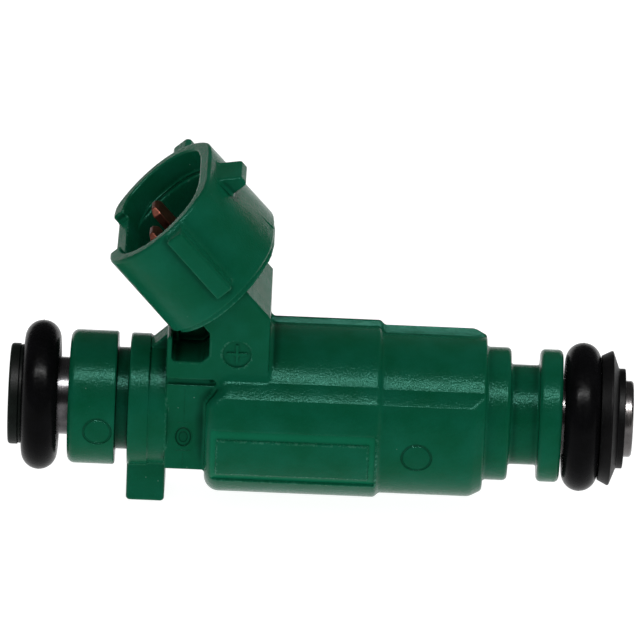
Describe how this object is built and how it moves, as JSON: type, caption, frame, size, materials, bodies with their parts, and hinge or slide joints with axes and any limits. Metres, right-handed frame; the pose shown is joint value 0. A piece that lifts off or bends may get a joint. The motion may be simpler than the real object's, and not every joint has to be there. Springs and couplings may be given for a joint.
{
  "type": "fuel injector",
  "caption": "Top-feed port fuel injector with a moulded body, angled oval blade connector, filter, seals at both ends and a spring-closed ball valve.",
  "frame": {"origin": "centre of the orifice plate's outer face, on the injector's axis", "axes": "+X along the injector from the fuel inlet to the spray tip, +Z towards the connector side"},
  "size_m": [0.0611, 0.0224, 0.0355],
  "materials": {
    "green_nylon": "deep green glass-filled nylon, semi-gloss, grainy where moulded rough",
    "filter_plastic": "very dark green-black moulded plastic",
    "filter_mesh": "fine woven nylon",
    "stainless": "drawn stainless steel",
    "turned_stainless": "bright turned stainless steel",
    "spring_steel": "drawn spring wire",
    "magnetic_steel": "ground ferritic stainless steel",
    "plated_steel": "zinc-plated drawn steel",
    "black_rubber": "black fluoroelastomer, satin",
    "cap_plastic": "black moulded plastic",
    "bobbin_plastic": "dark brown glass-filled nylon",
    "copper_wire": "enamelled copper wire",
    "terminal_copper": "plain copper alloy, dull"
  },
  "bodies": {
    "injector_body": {"overmould_housing": "green_nylon", "inlet_filter_frame": "filter_plastic", "inlet_filter_mesh": "filter_mesh", "inlet_tube": "stainless", "inlet_o_ring": "black_rubber", "calibration_sleeve": "stainless", "return_spring": "spring_steel", "pole_core": "magnetic_steel", "nonmagnetic_sleeve": "stainless", "coil_bobbin": "bobbin_plastic", "coil_winding": "copper_wire", "solenoid_housing": "plated_steel", "flux_washer": "magnetic_steel", "terminal_positive": "terminal_copper", "terminal_negative": "terminal_copper", "valve_body": "turned_stainless", "ball_guide": "stainless", "valve_seat": "stainless", "orifice_plate": "stainless", "seat_retainer": "stainless", "lower_o_ring": "black_rubber", "tip_cap": "cap_plastic"},
    "needle_assembly": {"armature": "magnetic_steel", "needle_tube": "stainless", "valve_ball": "stainless"}
  },
  "joints": [
    {"name": "needle_lift", "type": "slide", "parent": "injector_body", "child": "needle_assembly", "axis": [-1, 0, 0], "range_m": [0, 0.0001], "stiffness_N_per_m": 2000, "deforming": ["return_spring"]}
  ]
}
